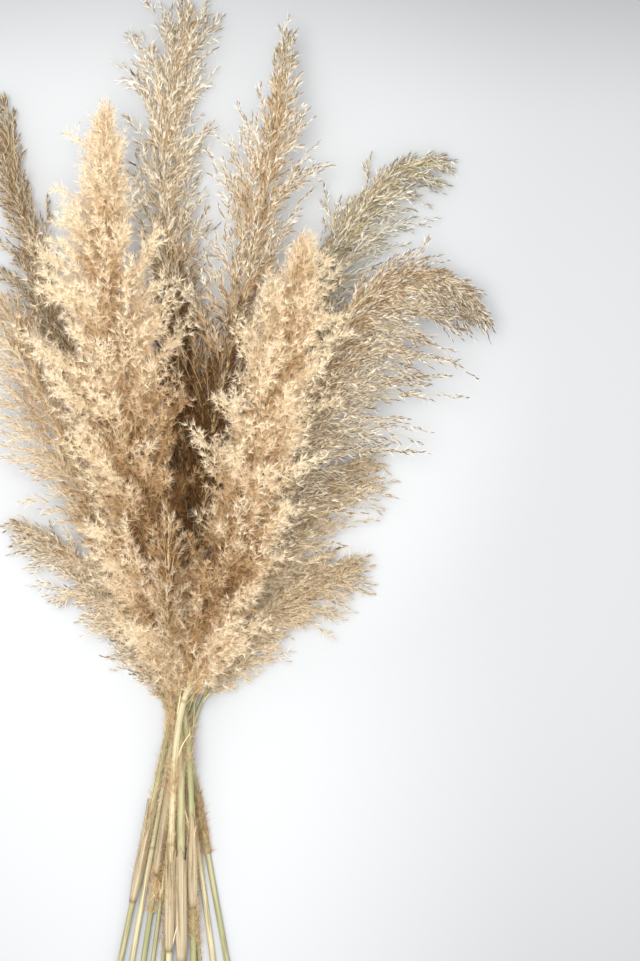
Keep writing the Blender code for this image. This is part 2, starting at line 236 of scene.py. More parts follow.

# Each plume. slot: a material name that nothing reads. start: mm along the stalk from the CAD plume's
# foot, where its branches begin.
PLUMES = {
    "left_back": dict(
        style="open", palette="brown", start=-70, branches=110, travel=75, twig=20, spread=1.45,
        taper=0.4, point=0.1, sparse=0.15, lift=0.15, nod=(-4, -2, 0),
        sprays=[(60, 40, -28), (120, 45, -38)]),
    "left_low": dict(
        style="soft", slot="plume_brown", start=-80, branches=110, twig=23, spread=1.5,
        dark_waist=0.2, tone=0.4, nod=(-6, -6, 0), sprays=[(150, 50, -55), (220, 50, -50)]),
    "low_left": dict(
        style="soft", palette="fawn", slot="plume_tan", start=-55, branches=70, twigs=11, travel=62,
        twig=18, spread=1.25, crown=1.35, taper=0.4, point=0.1, dark_waist=0.1, lift=0.2,
        nod=(-5, -5, 0), sprays=[(120, 22, -36), (165, 34, -30), (190, 30, -24), (205, 22, -24)]),
    "front_left": dict(
        style="woolly", start=-80, branches=212, twigs=27, point=0.34, dark_waist=0.2,
        nod=(-2, 0, 0),
        sprays=[(70, 45, -30), (120, 40, -42), (150, 42, -44), (172, 42, -50), (190, 44, -54),
                (205, 45, -56), (222, 45, -58)]),
    "tall_center": dict(
        style="open", palette="tan", slot="plume_tan", start=-60, branches=160, twigs=13,
        spread=1.75, crown=1.4, taper=0.14, point=0.02, dark_waist=0.7, lift=0.22, seeds=0.75,
        hairs=3, one_sided=-0.3, nod=(2, -2, 0),
        sprays=[(75, 62, -26), (85, 66, 32), (125, 52, 46), (120, 66, -46), (190, 50, 40),
                (60, 55, 14), (100, 58, -50), (130, 52, -50), (72, 55, -40)]),
    "front_small": dict(
        style="soft", start=-45, branches=40, twigs=9, travel=60, twig=15, spread=1.2, crown=1.1,
        taper=0.5, point=0.1),
    "right_center": dict(
        style="open", palette="tan", start=-70, branches=185, spread=2.1, point=0.32,
        dark_waist=0.7, lift=0.08, hairs=3, nod=(2, -2, 0), sprays=[(215, 95, -36), (50, 48, 6)]),
    "front_right": dict(
        style="woolly", start=-80, branches=170, twigs=24, point=0.15, dark_waist=0.35,
        one_sided=0.1, nod=(3, -2, 0), sprays=[(60, 40, 22), (110, 40, 44)]),
    "upper_right": dict(
        style="open", palette="green", start=-90, branches=145, travel=85, spread=1.8, taper=0.22,
        dark_waist=0.1, one_sided=0.45, nod=(8, -12, 0),
        sprays=[(100, 40, -24), (165, 55, -28), (95, 36, 50), (50, 30, 40)]),
    "lower_right": dict(
        style="open", palette="fawn", start=30, branches=240, travel=85, twig=23, spread=1.4,
        crown=1.15, taper=0.42, point=0.3, sparse=0.45, lift=0.16, dark_ends=1.0, one_sided=1.25,
        nod=(10, -12, 0),
        sprays=[(40, 26, 30), (150, 60, 84), (175, 64, 90), (200, 62, 92), (230, 56, 84),
                (255, 50, 76), (280, 45, 70), (305, 40, 64), (90, 30, -24)]),
    "low_right": dict(
        style="soft", start=-50, branches=90, twigs=11, travel=75, twig=21, spread=1.7, crown=1.35,
        lift=0.2, one_sided=0.2, nod=(8, -6, 0), sprays=[(60, 40, 26), (120, 45, 34)]),
    "right_low": dict(
        style="soft", start=-50, branches=78, twigs=11, travel=65, twig=20, spread=1.6, crown=1.35,
        lift=0.2, one_sided=0.15, nod=(6, -4, 0),
        sprays=[(110, 50, 36), (160, 46, 32), (195, 36, 26)]),
}

# The five stalks whose dry leaf sheath is still on, with how far its top has torn away, in mm.
SHEATHS = {"lower_right": 40, "right_center": 55, "tall_center": 35, "front_left": 50,
           "front_right": 45}

# Colours of culms and sheaths, linear
CULM_GREEN = (0.225, 0.235, 0.115)  # the greenest stalk
CULM_STRAW = (0.45, 0.40, 0.25)  # the driest
CULM_FIBRE = (0.20, 0.165, 0.075)
CULM_JOINT = (0.17, 0.115, 0.055)
CULM_BLOTCH = (0.17, 0.13, 0.075)
CULM_PITH = (0.86, 0.80, 0.66)
SHEATH_PALE = (0.56, 0.49, 0.345)
SHEATH_DARK = (0.31, 0.235, 0.135)
SHEATH_SPOT = (0.20, 0.13, 0.07)
RELIEF = 0.3 * MM  # the height of the bark's bumps

# The studio: the camera straight above the bundle, a pale floor with painted light, a pale world and
# two lamps
CAMERA_PLACE = (0.082, 0.050, 2.46)
CAMERA_LENS = 90
LAMPS_AIM_AT = np.array([0.05, 0.05, 0.06])
LAMPS = {  # place, size, power and colour
    "key": ((-0.28, 0.15, 2.2), 1.3, 54, (1.0, 0.985, 0.96)),
    "top": ((0.1, 0.3, 2.7), 1.4, 16, (1.0, 0.99, 0.97)),
}
WORLD_COLOUR = (1.0, 0.99, 0.975)
WORLD_AT_HORIZON = 0.5
WORLD_ABOVE = 1.61
SKY_TURNS_FULL = 0.3  # the direction's height at which the world is at its brightest
FLOOR_SIZE = 60.0
FLOOR_TINT = (0.935, 0.965, 1.0)
# The floor's painted light: a falloff across it and upward, and pools of light round and under the
# bunch
FLOOR_ACROSS = (-0.1, 0.34, 0.324, 0.252)  # from x to x, and how bright the floor is there
FLOOR_UPWARD = (0.4, 0.67, 1.0, 0.6)  # from y to y, and how much of that is kept
FLOOR_POOL = (0.16, 0.01, 0.0)  # the painted pool of light is brightest round here
FLOOR_ROUND_POOL = (0.2, 0.9, 1.3, 1.0)  # from this distance to that, and how much brighter
FLOOR_UNDER = (0.05, 0.14, 0.0)  # and painted light in the bunch's own shade, to soften its shadow
FLOOR_ROUND_UNDER = (0.1, 0.3, 1.16, 1.0)
FLOOR_FAR_OFF = (0.8, 2.4)  # over this distance from the pool the floor turns even
FLOOR_FAR_LEVEL = 0.33


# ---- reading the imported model

def unit(vectors):
    return vectors / np.maximum(np.linalg.norm(vectors, axis=-1, keepdims=True), 1e-12)


def wire_of(node):
    """A CAD node's points and edges."""
    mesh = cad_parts[node].data
    places = np.array([vertex.co for vertex in mesh.vertices], float)
    return places, np.array([edge.vertices for edge in mesh.edges])


def sections_along(node, step):
    """Middles, half widths and half heights of a long solid, from the end with the lowest y."""
    places, edges = wire_of(node)
    foot = places[:, 1].min()
    middle = places[places[:, 1] < foot + 2 * MM].mean(axis=0)
    ahead = np.array([0.0, 1.0, 0.0])
    found = [(*middle, 0.0, 0.0)]
    while True:
        probe = middle + ahead * step
        side = (places - probe) @ ahead
        near = np.linalg.norm(places[edges].mean(axis=1) - probe, axis=1) < SECTION_REACH
        cut = edges[(side[edges[:, 0]] * side[edges[:, 1]] < 0) & near]
        if len(cut) < 3:
            break
        share = side[cut[:, 0]] / (side[cut[:, 0]] - side[cut[:, 1]])
        spots = places[cut[:, 0]] + share[:, None] * (places[cut[:, 1]] - places[cut[:, 0]])
        sideways = unit(np.cross(ahead, (0.0, 0.0, 1.0)))
        upward = np.cross(sideways, ahead)
        across = (spots - probe) @ sideways
        over = (spots - probe) @ upward
        new = (probe + sideways * (across.max() + across.min()) / 2
               + upward * (over.max() + over.min()) / 2)
        ahead = unit(ahead + unit(new - middle))
        middle = new
        found.append((*middle, np.ptp(across) / 2, np.ptp(over) / 2))
    return np.array(found)


def running_mean(values, count):
    """Each column smoothed, with its ends held."""
    padded = np.pad(values, ((count // 2, count // 2), (0, 0)), "edge")
    kernel = np.ones(count) / count
    return np.stack([np.convolve(column, kernel, "valid") for column in padded.T], axis=1)


class Stalk:
    """A stalk's line from its cut end to past its tip, with its plume's size along it."""

    def __init__(self, name, start):
        stem = sections_along("stem_" + name, STEM_STEP)
        plume = sections_along("plume_" + name, PLUME_STEP)
        stem[0, 3:] = stem[1, 3:]
        plume[0, 3:] = stem[-1, 3:]
        rows = np.vstack([stem, plume])
        steps = np.linalg.norm(np.diff(rows[:, :3], axis=0), axis=1)
        along = np.concatenate([[0.0], np.cumsum(steps)])
        self.joint = along[len(stem)]
        self.begin = self.joint + start * MM  # of the branches
        self.tip = along[-1]
        self.stem_radius = float(np.median(stem[:, 3]))
        even = np.arange(0.0, self.tip, LINE_STEP)
        rows = np.stack([np.interp(even, along, column) for column in rows.T], axis=1)
        middles = running_mean(rows[:, :3], SMOOTHING)
        heading = unit(middles[-1] - middles[-8])
        beyond = np.arange(1, int(LINE_BEYOND / LINE_STEP))[:, None] * LINE_STEP * heading
        self.middles = np.vstack([middles, middles[-1] + beyond])
        self.sizes = np.vstack([rows[:, 3:], np.repeat(rows[-1:, 3:], len(beyond), axis=0)])
        self.ahead = unit(np.gradient(self.middles, axis=0))
        self.sideways = unit(np.cross(self.ahead, (0.0, 0.0, 1.0)))
        self.upward = np.cross(self.sideways, self.ahead)
        self.distances = np.arange(len(self.middles)) * LINE_STEP

    def at(self, distances, rows):
        """Rows of the line's table at these distances along it."""
        columns = [np.interp(distances, self.distances, column) for column in rows.T]
        return np.stack(columns, axis=-1)

    def outward(self, distances, across, over):
        """Steps from the line, by so much to its right and so much up."""
        return (across[..., None] * self.at(distances, self.sideways)
                + over[..., None] * self.at(distances, self.upward))

    def share(self, distances):
        """0 where the branches begin and 1 at the tip."""
        return (distances - self.begin) / (self.tip - self.begin)

    def near_tip(self, distances):
        """0 up to the plume's last part, and 1 at its tip."""
        return np.clip((distances - self.tip + TIP_PART) / TIP_PART, 0.0, 1.0)


# ---- meshes of many strands

def add_object(name, data):
    made = bpy.data.objects.new(name, data)
    bpy.context.scene.collection.objects.link(made)
    return made


def finish_mesh(mesh, numbers, spots, materials):
    """Its object, with numbers for its points, places on the map for its corners, and materials."""
    for label, values in numbers.items():
        kind, key = ("FLOAT_VECTOR", "vector") if values.ndim == 3 else ("FLOAT", "value")
        layer = mesh.attributes.new(label, kind, "POINT")
        layer.data.foreach_set(key, values.astype(np.float32).ravel())
    layer = mesh.uv_layers.new(name=MAP_NAME)
    layer.uv.foreach_set("vector", spots.astype(np.float32).ravel())
    for material in materials:
        mesh.materials.append(material)
    return add_object(mesh.name, mesh)


class Strands:
    """Gathers loose faces with their tone, depth and place from foot to tip, and makes one mesh."""

    def __init__(self):
        self.parts = []
        self.size = 0

    def add(self, kind, points, faces, tone, depth, reach, across, smooth=False):
        """points (n, 3); faces (m, 3 or 4) into them; the rest one value for each point."""
        tone = (np.clip(tone, 0, 0.999) * TONES).astype(int)
        depth = (np.clip(depth, 0, 0.999) * DEPTHS).astype(int)
        low, high = ZONES[kind]
        cell = (high - low) / TONES
        u = low + (tone + 0.5 + CELL_HALF_WIDTH * across) * cell
        v = (depth + CELL_FOOT + CELL_LENGTH * reach) / DEPTHS
        values = np.stack([(tone + 0.5) / TONES, (depth + 0.5) / DEPTHS, reach], axis=1)
        counts, slots, smooths = (np.full(len(faces), value) for value in (
            faces.shape[1], KINDS.index(kind), smooth))
        self.parts.append((points, values, np.stack([u, v], axis=1), (faces + self.size).ravel(),
                           counts, slots, smooths))
        self.size += len(points)

    def build(self, name, materials):
        points, values, spots, corners, counts, slots, smooths = (
            np.concatenate(each) for each in zip(*self.parts))
        mesh = bpy.data.meshes.new(name)
        mesh.vertices.add(len(points))
        mesh.vertices.foreach_set("co", inside_box(points).ravel())
        mesh.loops.add(len(corners))
        mesh.loops.foreach_set("vertex_index", corners)
        mesh.polygons.add(len(counts))
        mesh.polygons.foreach_set("loop_start", np.cumsum(counts) - counts)
        mesh.polygons.foreach_set("material_index", slots)
        mesh.polygons.foreach_set("use_smooth", smooths)
        mesh.update(calc_edges=True)
        numbers = dict(zip(("tone", "depth", "reach"), values.T))
        return finish_mesh(mesh, numbers, spots[corners], materials)


def inside_box(points):
    """Points kept off the surface and within what may stand outside the CAD box."""
    low, high = np.array(cad_box)
    room = BOX_SHARE * (high - low) + BOX_EXTRA
    low = low - room
    low[2] = FLOOR_GAP
    return np.clip(points, low, high + room)


def grid_faces(rows, columns, closed):
    """Quads over rows of points, each row closed into a ring or open."""
    across = np.arange(columns if closed else columns - 1)
    after = (across + 1) % columns
    row = np.arange(rows - 1)[:, None] * columns
    quads = [row + across, row + after, row + columns + after, row + columns + across]
    return np.stack(quads, axis=-1).reshape(-1, 4)


def perpendicular(directions, rng):
    """A unit vector across each direction, turned at random."""
    return unit(np.cross(directions, rng.normal(size=directions.shape)))


def add_grids(strands, grids, closed, tone, depth, across):
    """Wooden strands as grids (n, rows, columns, 3), with a row for each point from foot to tip."""
    count, rows, columns = grids.shape[:3]
    faces = grid_faces(rows, columns, closed)
    faces = (faces[None] + (np.arange(count) * rows * columns)[:, None, None]).reshape(-1, 4)
    given = (np.reshape(tone, (-1, 1, 1)), np.reshape(depth, (-1, 1, 1)),
             np.linspace(0, 1, rows)[:, None], across)
    values = [np.broadcast_to(each, (count, rows, columns)).ravel() for each in given]
    strands.add("wood", grids.reshape(-1, 3), faces, *values, smooth=closed)


def add_tubes(strands, lines, radii, sides, tone, depth):
    """A smooth tube along each of several lines (n, k, 3), with radii (k,)."""
    ahead = unit(np.gradient(lines, axis=1))
    side = unit(np.cross(ahead, (0.05, 0.02, 1.0)))
    up = np.cross(side, ahead)
    turn = np.arange(sides) * 2 * math.pi / sides
    rings = lines[:, :, None] + radii[:, None, None] * (np.cos(turn)[:, None] * side[:, :, None]
                                                        + np.sin(turn)[:, None] * up[:, :, None])
    add_grids(strands, rings, True, tone, depth, np.cos(turn))


def add_ribbons(strands, lines, widths, tone, depth, rng):
    """Flat strips along lines (n, k, 3) that narrow to half their width."""
    side = perpendicular(unit(lines[:, -1] - lines[:, 0]), rng)[:, None]
    narrowing = np.linspace(1.0, 0.5, lines.shape[1])[None, :, None]
    half = side * narrowing * np.reshape(widths, (-1, 1, 1)) / 2
    add_grids(strands, np.stack([lines - half, lines + half], axis=2), False, tone, depth,
              np.array([-1.0, 1.0]))


def add_faces(strands, kind, corners, tone, depth, reach, across):
    """corners (n, 3 or 4, 3); tone and depth for each face, reach and across for each corner."""
    count, sides = corners.shape[:2]
    strands.add(kind, corners.reshape(-1, 3), np.arange(count * sides).reshape(-1, sides),
                np.repeat(tone, sides), np.repeat(depth, sides),
                np.tile(reach, count), np.tile(across, count))


def add_blades(strands, kind, chosen, feet, directions, lengths, widths, tone, depth, rng):
    """Flat pointed bodies, widest near the foot, at those of the feet that are chosen."""
    feet, directions, lengths, widths, tone, depth = (
        values[chosen] for values in (feet, directions, lengths, widths, tone, depth))
    side = perpendicular(directions, rng) * widths[:, None] / 2
    belly = feet + directions * (lengths * WIDEST)[:, None]
    ends = feet + directions * lengths[:, None]
    corners = np.stack([feet, belly + side, ends, belly - side], axis=1)
    add_faces(strands, kind, corners, tone, depth, (0.0, WIDEST, 1.0, WIDEST), (0.0, 1.0, 0.0, -1.0))


def add_hairs(strands, feet, directions, lengths, widths, tone, depth, rng):
    """Single slender triangles."""
    side = perpendicular(directions, rng) * widths[:, None] / 2
    corners = np.stack([feet - side, feet + side, feet + directions * lengths[:, None]], axis=1)
    add_faces(strands, "hair", corners, tone, depth, (0.0, 0.0, 1.0), (-1.0, 1.0, 0.0))


# ---- plumes

def envelope(stalk, look, distances):
    """The plume's half width and half height there: the CAD solid's, fuller towards its ends."""
    share = np.clip(stalk.share(distances), 0.0, 1.0)
    full = stalk.sizes[stalk.distances > stalk.joint].max(axis=0)
    opening = np.clip(ENVELOPE_FOOT + share / ENVELOPE_OPENS, 0.0, 1.0)
    closing = np.clip((1.05 - share) / look["taper"], 0.0, 1.0) ** ENVELOPE_TAPERS
    least = ENVELOPE_LEAST * full * (opening * closing)[..., None]
    point = np.clip((1.03 - share) / look["point"], 0.1, 1.0) ** 0.7
    sizes = np.maximum(stalk.at(distances, stalk.sizes), least)
    return sizes * (look["spread"], look["crown"]) * point[..., None]


def grow_branches(stalk, look, rng):
    """The side branches: where each leaves the rachis, how far it runs, and its control points."""
    count = look["branches"]
    share = 1.0 - (1.0 - (np.arange(count) + rng.uniform(0, 1, count)) / count) ** BRANCHES_SPACED
    leave = stalk.begin + (stalk.tip - stalk.begin) * LAST_BRANCH * share
    turn = np.arange(count) * GOLDEN_TURN + rng.normal(0, 0.3, count)
    turn += FACING_UP * np.cos(turn)
    turn -= FACING_LONG_SIDE * min(look["one_sided"], 1.0) * np.sin(turn)
    left = stalk.tip + TRAVEL_PAST_TIP - leave
    travel = look["travel"] * MM * rng.uniform(0.7, 1.2, count)
    travel = np.minimum(travel, LEAST_TRAVEL + TRAVEL_OF_LEFT * left)
    stray = rng.uniform(0, 1, count) < STRAYS
    reach = np.where(stray, rng.uniform(*STRAY_REACH, count),
                     rng.uniform(*USUAL_REACH, count) ** REACH_CROWDS)
    beside = leave + WIDEST_TRAVEL * travel
    size = envelope(stalk, look, beside)
    longer = 1.0 + look["one_sided"] * np.clip(np.cos(turn), 0, None) ** 2
    radial = stalk.outward(beside, np.cos(turn) * size[:, 0] * longer, np.sin(turn) * size[:, 1])
    radial *= reach[:, None]
    nod = np.array(look["nod"]) * MM * (0.4 + 0.6 * longer[:, None] * reach[:, None])
    foot = stalk.at(leave, stalk.middles)
    bend = stalk.at(leave + 0.5 * travel, stalk.middles) + radial * BEND_OUT
    end = stalk.at(leave + travel, stalk.middles) + radial + nod
    branches = (leave, travel, np.stack([foot, bend, end], axis=1))
    if not look["sprays"]:
        return branches
    return [np.concatenate(both) for both in zip(branches, grow_sprays(stalk, look))]


def grow_sprays(stalk, look):
    """The same for the single long branches that stand out."""
    back, ahead, right = np.array(look["sprays"], float).T[:, :, None] * MM
    leave = (stalk.tip - back)[:, 0]
    foot = stalk.at(leave, stalk.middles)
    forward, sideways = stalk.at(leave, stalk.ahead), stalk.at(leave, stalk.sideways)
    bend = foot + forward * ahead * SPRAY_BEND_AHEAD + sideways * right * BEND_OUT
    end = foot + forward * ahead + sideways * right
    return leave, ahead[:, 0], np.stack([foot, bend, end], axis=1)


def evenly(count, points, end=1.0):
    """The same places along each of count strands, from 0 to the end."""
    return np.broadcast_to(np.linspace(0, end, points), (count, points))


def bezier(control, t):
    """Points and directions of curves of three control points (n, 3, 3) at t (n, m)."""
    t = t[..., None]
    a, b, c = (control[:, None, i] for i in range(3))
    points = (1 - t) ** 2 * a + 2 * t * (1 - t) * b + t ** 2 * c
    return points, unit((1 - t) * (b - a) + t * (c - b))


def depth_at(stalk, look, points, distances):
    """How far out in the plume the points lie: 0 on the rachis, near 1 at the envelope."""
    from_middle = points - stalk.at(distances, stalk.middles)
    size = envelope(stalk, look, distances)
    across, over = ((from_middle * stalk.at(distances, axis)).sum(-1) for axis in (
        stalk.sideways, stalk.upward))
    half_width, half_height = np.moveaxis(np.maximum(size, 1e-4), -1, 0)
    return np.hypot(across / half_width, over / half_height) / 1.15


class Twigs:
    """A plume's twigs, each nearly straight from its branch but giving way downwards."""

    def __init__(self, stalk, look, branches, fullness, branch_tone, rng):
        """fullness: each branch's length over that of a full one."""
        leave, travel, control = branches
        twigs, loose = look["twigs"], look["loose"]
        t = ((np.arange(twigs) + rng.uniform(0, 1, (len(leave), twigs))) / twigs) ** look["outward"]
        t = FIRST_TWIG + (1.0 - FIRST_TWIG) * t
        near_tip = stalk.near_tip(leave)[:, None]
        share = (np.clip(fullness, 0.3, 1.0)[:, None] * (1.0 - look["sparse"] * t)
                 * (1.0 - TIP_THINNER * near_tip))
        kept = rng.uniform(0, 1, t.shape) < share
        owner = np.broadcast_to(np.arange(len(leave))[:, None], t.shape)[kept]
        foot, ahead = bezier(control, t)
        foot, ahead, t = foot[kept], ahead[kept], t[kept]
        least, most = TWIG_ANGLE
        angle = rng.uniform(least, most + loose, t.shape) * (1.0 - 0.75 * (1.0 - loose) * t)
        self.out = t  # how far out on the branch
        self.foot = foot
        aside = perpendicular(ahead, rng)
        self.heading = ahead * np.cos(angle)[:, None] + aside * np.sin(angle)[:, None]
        self.length = look["twig"] * MM * rng.uniform(0.6, 1.25, t.shape)
        self.length *= 1.0 - 0.45 * (1.0 - loose) * t
        self.length *= np.clip(fullness, 0.5, 1.0)[owner]
        self.sink = unit(np.array(look["nod"]) + (0, 0, -1.5)) * TWIG_SINKS
        self.tone = branch_tone[owner] + rng.normal(0, MOTTLE * look["mottle"], t.shape)
        along = leave[owner] + t * travel[owner]
        self.near_tip = stalk.near_tip(along)
        self.depth = self.depths(stalk, look, along)

    def at(self, shares):
        """Points on each twig at these shares of its length (n, m)."""
        run = (shares * self.length[:, None])[..., None]
        sunk = self.heading[:, None] + 0.5 * shares[..., None] * self.sink
        return self.foot[:, None] + run * sunk

    def depths(self, stalk, look, along):
        """How deep in the plume each looks, from 0 at its dark heart: this depth sets its painted
        shade.
        """
        middle = self.at(np.full((len(along), 1), 0.5))
        depth = depth_at(stalk, look, middle, along[:, None])[:, 0]
        depth = OUT_IN_PLUME * depth + OUT_ON_BRANCH * self.out
        from_waist = np.abs(stalk.share(along) - WAIST)
        # painted shade round the waist, and less of it all with lift
        depth += look["lift"] - look["dark_waist"] * np.clip(1.0 - from_waist / WAIST_HALF, 0.0, 1.0)
        # painted shade kept light at the very tip
        depth = np.maximum(depth, TIP_DEPTH * self.near_tip)
        # painted shade in the hollow between the two front plumes
        from_hollow = (self.foot[:, :2] - HOLLOW_MIDDLE) / HOLLOW_SIZE
        return depth - HOLLOW_DEPTH * np.exp(-(from_hollow ** 2).sum(axis=1))


def add_spikelets(strands, twigs, look, rng):
    """The twigs themselves, and along each its husks, seeds and silky hairs."""
    husks, bold, loose = look["husks"], look["bold"], look["loose"]
    mottle = MOTTLE * look["mottle"]
    count = len(twigs.foot)
    places = (np.arange(husks) + rng.uniform(0.2, 1.0, (count, husks))) / husks
    lines = twigs.at(evenly(count, 2 if husks < 4 else 3, 0.95))
    add_ribbons(strands, lines, TWIG_WIDTH, twigs.tone, twigs.depth, rng)

    feet = twigs.at(places).reshape(-1, 3)
    grain = unit(twigs.heading[:, None] + places[..., None] * twigs.sink).reshape(-1, 3)
    total = len(feet)
    out = unit(grain + rng.normal(0, 0.7 * loose, (total, 3)))
    tone = np.repeat(twigs.tone, husks) + rng.normal(0, mottle, total)
    bare_end = np.repeat(np.clip(2 * twigs.out - 1, 0, 1), husks) * look["dark_ends"]
    near_tip = np.repeat(twigs.near_tip, husks)
    tone -= END_DULLER * bare_end + TIP_DULLER * near_tip
    depth = np.repeat(twigs.depth, husks) + rng.normal(0, 0.05, total)
    size = rng.uniform(0.75, 1.25, total)
    widths = bold * HUSK_WIDTH * rng.uniform(0.7, 1.15, total)
    husked = rng.uniform(0, 1, total) > 0.85 * bare_end
    lengths = bold * HUSK_LENGTH * size
    add_blades(strands, "husk", husked, feet, out, lengths, widths, tone, depth, rng)
    lengths = bold * SEED_LENGTH * size * (1.0 - 0.2 * bare_end)
    widths = bold * SEED_WIDTH * rng.uniform(0.6, 1.2, total) * (1.0 + 0.3 * bare_end)
    seeded = rng.uniform(0, 1, total) < look["seeds"]
    askew = unit(grain + 0.4 * out + rng.normal(0, 0.15, (total, 3)))
    places = feet + askew * SEED_OUT
    add_blades(strands, "seed", seeded, places, askew, lengths, widths, tone, depth, rng)

    hairs = look["hairs"] * (1.0 - 0.5 * near_tip) * (1.0 - 0.85 * bare_end)
    hairs = (hairs + rng.uniform(0, 1, total)).astype(int)
    feet = np.repeat(feet + out * HAIR_OUT, hairs, axis=0)
    total = len(feet)
    out = unit(np.repeat(out, hairs, axis=0) + rng.normal(0, loose, (total, 3)))
    add_hairs(strands, feet, out, HAIR_LENGTH * rng.uniform(0.55, 1.3, total),
              HAIR_WIDTH * (0.55 + loose) * rng.uniform(0.6, 1.3, total),
              np.repeat(tone, hairs) + rng.normal(0, mottle, total), np.repeat(depth, hairs), rng)


def on_culm(stalk, distances, turns, lift):
    """Points on the culm, lift times its radius from its line, with the outward direction there."""
    outward = stalk.outward(distances, np.cos(turns), np.sin(turns))
    return stalk.at(distances, stalk.middles) + lift * stalk.stem_radius * outward, outward


def add_fuzz(strands, stalk, rng):
    """Fine fluff left on the culm below the plume, in patches."""
    low = max(stalk.joint - FUZZ_REACH, FIRST_JOINT)
    patches = rng.uniform(low, stalk.joint, FUZZ_PATCHES)
    patch = rng.integers(0, FUZZ_PATCHES, FUZZ_HAIRS)
    distances = patches[patch] + rng.normal(0, FUZZ_PATCH_SIZE, FUZZ_HAIRS)
    distances = np.clip(distances, low, stalk.joint)
    turns = rng.uniform(0, 2 * math.pi, FUZZ_HAIRS)
    feet, outward = on_culm(stalk, distances, turns, 0.97)
    along = stalk.at(distances, stalk.ahead)
    out = along + outward * rng.uniform(0.1, 1.0, (FUZZ_HAIRS, 1))
    out = unit(out + rng.normal(0, 0.4, outward.shape))
    add_hairs(strands, feet, out, rng.uniform(3, 12, FUZZ_HAIRS) * MM, np.full(FUZZ_HAIRS, FUZZ_WIDTH),
              rng.uniform(0.0, 0.7, FUZZ_HAIRS), rng.uniform(0.1, 0.45, FUZZ_HAIRS), rng)


def add_scraps(strands, stalk, rng):
    """Thin dry strips that have come loose from the culm."""
    low = max(stalk.joint - FUZZ_REACH, FIRST_JOINT)
    distances = rng.uniform(low, stalk.joint, SCRAPS)
    feet, outward = on_culm(stalk, distances, rng.uniform(0, 2 * math.pi, SCRAPS), 0.98)
    along = stalk.at(distances, stalk.ahead)
    length = rng.uniform(12, 45, (SCRAPS, 1)) * MM
    away = rng.uniform(0.04, 0.3, (SCRAPS, 1))
    bend = feet + length * (0.5 * along + 0.2 * away * outward)
    end = feet + length * (along + away * outward + rng.normal(0, 0.08, outward.shape))
    control = np.stack([feet, bend, end], axis=1)
    lines, _ = bezier(control, evenly(SCRAPS, SCRAP_POINTS))
    add_ribbons(strands, lines, rng.uniform(0.6, 1.9, SCRAPS) * MM, rng.uniform(0.2, 0.9, SCRAPS),
                0.6, rng)


def grow_plume(name, stalk, look, rng):
    """One plume with its rachis, and the fluff on the culm below it, as a single mesh."""
    strands = Strands()
    branches = grow_branches(stalk, look, rng)
    count = len(branches[0])

    inside = (stalk.distances > stalk.joint - RACHIS_OVERLAP) & (stalk.distances < stalk.tip)
    rachis = stalk.middles[inside][::3]
    narrowing = np.linspace(stalk.stem_radius, RACHIS_TIP_RADIUS, len(rachis))
    # depth 0.5 and 0.4 give the rachis and branches some painted shade inside the plume
    add_tubes(strands, rachis[None], narrowing, RACHIS_SIDES, 0.6, 0.5)

    branch_tone = look["tone"] + rng.normal(0, MOTTLE * look["mottle"], count)
    lines, _ = bezier(branches[2], evenly(count, BRANCH_POINTS))
    narrowing = BRANCH_RADIUS * np.linspace(1.0, BRANCH_NARROWS, BRANCH_POINTS)
    add_tubes(strands, lines, narrowing, BRANCH_SIDES, branch_tone, 0.4)

    fullness = np.linalg.norm(np.diff(lines, axis=1), axis=2).sum(axis=1) / (look["travel"] * MM)
    add_spikelets(strands, Twigs(stalk, look, branches, fullness, branch_tone, rng), look, rng)
    add_fuzz(strands, stalk, rng)
    add_scraps(strands, stalk, rng)
    made = strands.build("pampas_plume_" + name, plume_materials(look["palette"]))
    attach(made, "root")
    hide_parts("plume_" + name)


# ---- culms and sheaths

def make_skin(name, points, closed, numbers, material):
    """A smooth grid (rows, columns, 3), with numbers for its points or for its rows."""
    rows, columns = points.shape[:2]
    faces = grid_faces(rows, columns, closed)
    mesh = bpy.data.meshes.new(name)
    mesh.from_pydata(inside_box(points.reshape(-1, 3)).tolist(), [], faces.tolist())
    mesh.polygons.foreach_set("use_smooth", np.ones(len(faces), bool))
    numbers = {label: values if np.ndim(values) == 3 else np.broadcast_to(values, (rows, columns))
               for label, values in numbers.items()}
    wide = columns if closed else columns - 1
    row, column = np.divmod(np.arange(len(faces)), wide)
    u = (column[:, None] + (0, 1, 1, 0)) / wide
    v = (row[:, None] + (0, 0, 1, 1)) / (rows - 1)
    spots = np.stack([u, v], axis=-1) * (1 - 2 * SKIN_MAP_MARGIN) + SKIN_MAP_MARGIN
    return finish_mesh(mesh, numbers, spots, [material])


def rings_round(stalk, distances, turns, radii):
    """Points round the stalk: distances (rows,) or (rows, columns), turns (columns,)."""
    distances = np.broadcast_to(np.reshape(distances, (len(distances), -1)), radii.shape)
    outward = stalk.outward(distances, np.cos(turns), np.sin(turns))
    return stalk.at(distances, stalk.middles) + radii[..., None] * outward


